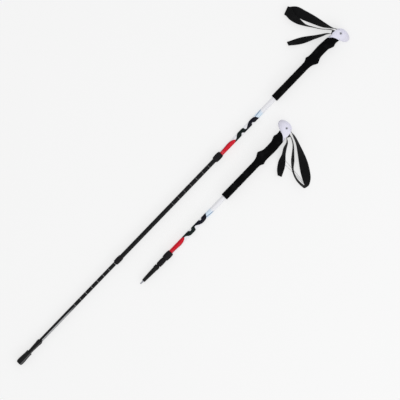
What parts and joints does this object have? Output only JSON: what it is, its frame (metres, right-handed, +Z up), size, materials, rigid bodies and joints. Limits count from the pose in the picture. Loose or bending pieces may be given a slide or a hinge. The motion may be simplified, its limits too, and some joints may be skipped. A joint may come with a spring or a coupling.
{
  "type": "trekking poles",
  "caption": "Telescopic walking poles lying side by side, one extended with a rubber foot and one collapsed, with foam grips, moulded heads and wrist straps.",
  "frame": {"origin": "centre of the footprint of both poles and their straps, on the floor they lie on", "axes": "+X from the tips to the heads, +Y towards the long pole, +Z up"},
  "size_m": [1.35, 0.4052, 0.0303],
  "materials": {
    "head_plastic": "satin moulded plastic, pale lavender white",
    "grip_foam": "matt black foam",
    "webbing": "black woven webbing",
    "wedge_plastic": "black moulded plastic",
    "painted_tube": "white, black and red gloss paint with a blue accent",
    "anodised_tube": "black anodised aluminium with light length rings",
    "collar_plastic": "black moulded plastic",
    "expander_plastic": "grey moulded plastic",
    "cone_brass": "plain turned brass",
    "ferrule_plastic": "black moulded plastic with fine ribs",
    "foot_rubber": "dark rubber",
    "fastener_steel": "plated steel"
  },
  "bodies": {
    "long_handle_section": {"long_head_shell": "head_plastic", "long_strap_barrel_nut": "fastener_steel", "long_strap_screw": "fastener_steel", "long_foam_grip": "grip_foam", "long_upper_tube": "painted_tube", "long_upper_lock_collar": "collar_plastic"},
    "long_strap": {"long_wrist_strap": "webbing"},
    "long_wedge": {"long_strap_wedge": "wedge_plastic"},
    "long_upper_sleeve": {"long_upper_expander": "expander_plastic"},
    "long_upper_cone": {"long_upper_expander_cone": "cone_brass"},
    "long_middle_section": {"long_upper_lock_plug": "expander_plastic", "long_upper_lock_stud": "fastener_steel", "long_upper_stop_nut": "fastener_steel", "long_middle_tube": "anodised_tube", "long_lower_lock_collar": "collar_plastic"},
    "long_lower_sleeve": {"long_lower_expander": "expander_plastic"},
    "long_lower_cone": {"long_lower_expander_cone": "cone_brass"},
    "long_lower_section": {"long_lower_lock_plug": "expander_plastic", "long_lower_lock_stud": "fastener_steel", "long_lower_stop_nut": "fastener_steel", "long_lower_tube": "anodised_tube", "long_flex_tip": "ferrule_plastic", "long_steel_point": "fastener_steel"},
    "long_foot": {"long_rubber_foot": "foot_rubber"},
    "short_handle_section": {"short_head_shell": "head_plastic", "short_strap_barrel_nut": "fastener_steel", "short_strap_screw": "fastener_steel", "short_foam_grip": "grip_foam", "short_upper_tube": "painted_tube", "short_upper_lock_collar": "collar_plastic"},
    "short_strap": {"short_wrist_strap": "webbing"},
    "short_wedge": {"short_strap_wedge": "wedge_plastic"},
    "short_upper_sleeve": {"short_upper_expander": "expander_plastic"},
    "short_upper_cone": {"short_upper_expander_cone": "cone_brass"},
    "short_middle_section": {"short_upper_lock_plug": "expander_plastic", "short_upper_lock_stud": "fastener_steel", "short_upper_stop_nut": "fastener_steel", "short_middle_tube": "anodised_tube", "short_lower_lock_collar": "collar_plastic"},
    "short_lower_sleeve": {"short_lower_expander": "expander_plastic"},
    "short_lower_cone": {"short_lower_expander_cone": "cone_brass"},
    "short_lower_section": {"short_lower_lock_plug": "expander_plastic", "short_lower_lock_stud": "fastener_steel", "short_lower_stop_nut": "fastener_steel", "short_lower_tube": "anodised_tube", "short_flex_tip": "ferrule_plastic", "short_steel_point": "fastener_steel"}
  },
  "joints": [
    {"name": "long_strap_swing", "type": "hinge", "parent": "long_handle_section", "child": "long_strap", "pos_m": [0.659, 0.039, 0.01535], "axis": [-0.004, 0, 1], "range_deg": [-7, 4]},
    {"name": "long_wedge_release", "type": "slide", "parent": "long_strap", "child": "long_wedge", "axis": [-0.4226, 0.9063, -0.0017], "range_m": [0, 0.0045]},
    {"name": "long_upper_telescope", "type": "slide", "parent": "long_handle_section", "child": "long_upper_sleeve", "axis": [1, 0, 0.004], "range_m": [0, 0.386]},
    {"name": "long_upper_twist", "type": "hinge", "parent": "long_upper_sleeve", "child": "long_middle_section", "pos_m": [0.175, 0.047, 0.01341], "axis": [1, 0, 0.004], "range_deg": [-540, 0]},
    {"name": "long_upper_cone_travel", "type": "slide", "parent": "long_upper_sleeve", "child": "long_upper_cone", "axis": [1, 0, 0.004], "range_m": [0, 0.0023]},
    {"name": "long_lower_telescope", "type": "slide", "parent": "long_middle_section", "child": "long_lower_sleeve", "axis": [1, 0, 0.004], "range_m": [0, 0.3075]},
    {"name": "long_lower_twist", "type": "hinge", "parent": "long_lower_sleeve", "child": "long_lower_section", "pos_m": [0.175, 0.047, 0.01341], "axis": [1, 0, 0.004], "range_deg": [-540, 0]},
    {"name": "long_lower_cone_travel", "type": "slide", "parent": "long_lower_sleeve", "child": "long_lower_cone", "axis": [1, 0, 0.004], "range_m": [0, 0.0023]},
    {"name": "long_foot_pull_off", "type": "slide", "parent": "long_lower_section", "child": "long_foot", "axis": [-1, 0, -0.004], "range_m": [0, 0.045]},
    {"name": "short_pole_lift", "type": "slide", "parent": "long_handle_section", "child": "short_handle_section", "axis": [0, 0, 1], "range_m": [0, 0.3]},
    {"name": "short_strap_swing", "type": "hinge", "parent": "short_handle_section", "child": "short_strap", "pos_m": [0.353, -0.039, 0.01586], "axis": [-0.0109, 0, 0.9999], "range_deg": [-4, 7]},
    {"name": "short_wedge_release", "type": "slide", "parent": "short_strap", "child": "short_wedge", "axis": [-0.4226, -0.9063, -0.0046], "range_m": [0, 0.0045]},
    {"name": "short_upper_telescope", "type": "slide", "parent": "short_handle_section", "child": "short_upper_sleeve", "axis": [0.9999, 0, 0.0109], "range_m": [-0.386, 0]},
    {"name": "short_upper_twist", "type": "hinge", "parent": "short_upper_sleeve", "child": "short_middle_section", "pos_m": [-0.13097, -0.047, 0.01056], "axis": [0.9999, 0, 0.0109], "range_deg": [-540, 0]},
    {"name": "short_upper_cone_travel", "type": "slide", "parent": "short_upper_sleeve", "child": "short_upper_cone", "axis": [0.9999, 0, 0.0109], "range_m": [0, 0.0023]},
    {"name": "short_lower_telescope", "type": "slide", "parent": "short_middle_section", "child": "short_lower_sleeve", "axis": [0.9999, 0, 0.0109], "range_m": [-0.3075, 0]},
    {"name": "short_lower_twist", "type": "hinge", "parent": "short_lower_sleeve", "child": "short_lower_section", "pos_m": [-0.13097, -0.047, 0.01056], "axis": [0.9999, 0, 0.0109], "range_deg": [-540, 0]},
    {"name": "short_lower_cone_travel", "type": "slide", "parent": "short_lower_sleeve", "child": "short_lower_cone", "axis": [0.9999, 0, 0.0109], "range_m": [0, 0.0023]}
  ],
  "couplings": [
    {"joint": "long_upper_cone_travel", "follows": "long_upper_twist", "m_per_rad": -0.00023873},
    {"joint": "long_lower_cone_travel", "follows": "long_lower_twist", "m_per_rad": -0.00023873},
    {"joint": "short_upper_cone_travel", "follows": "short_upper_twist", "m_per_rad": -0.00023873},
    {"joint": "short_lower_cone_travel", "follows": "short_lower_twist", "m_per_rad": -0.00023873}
  ]
}
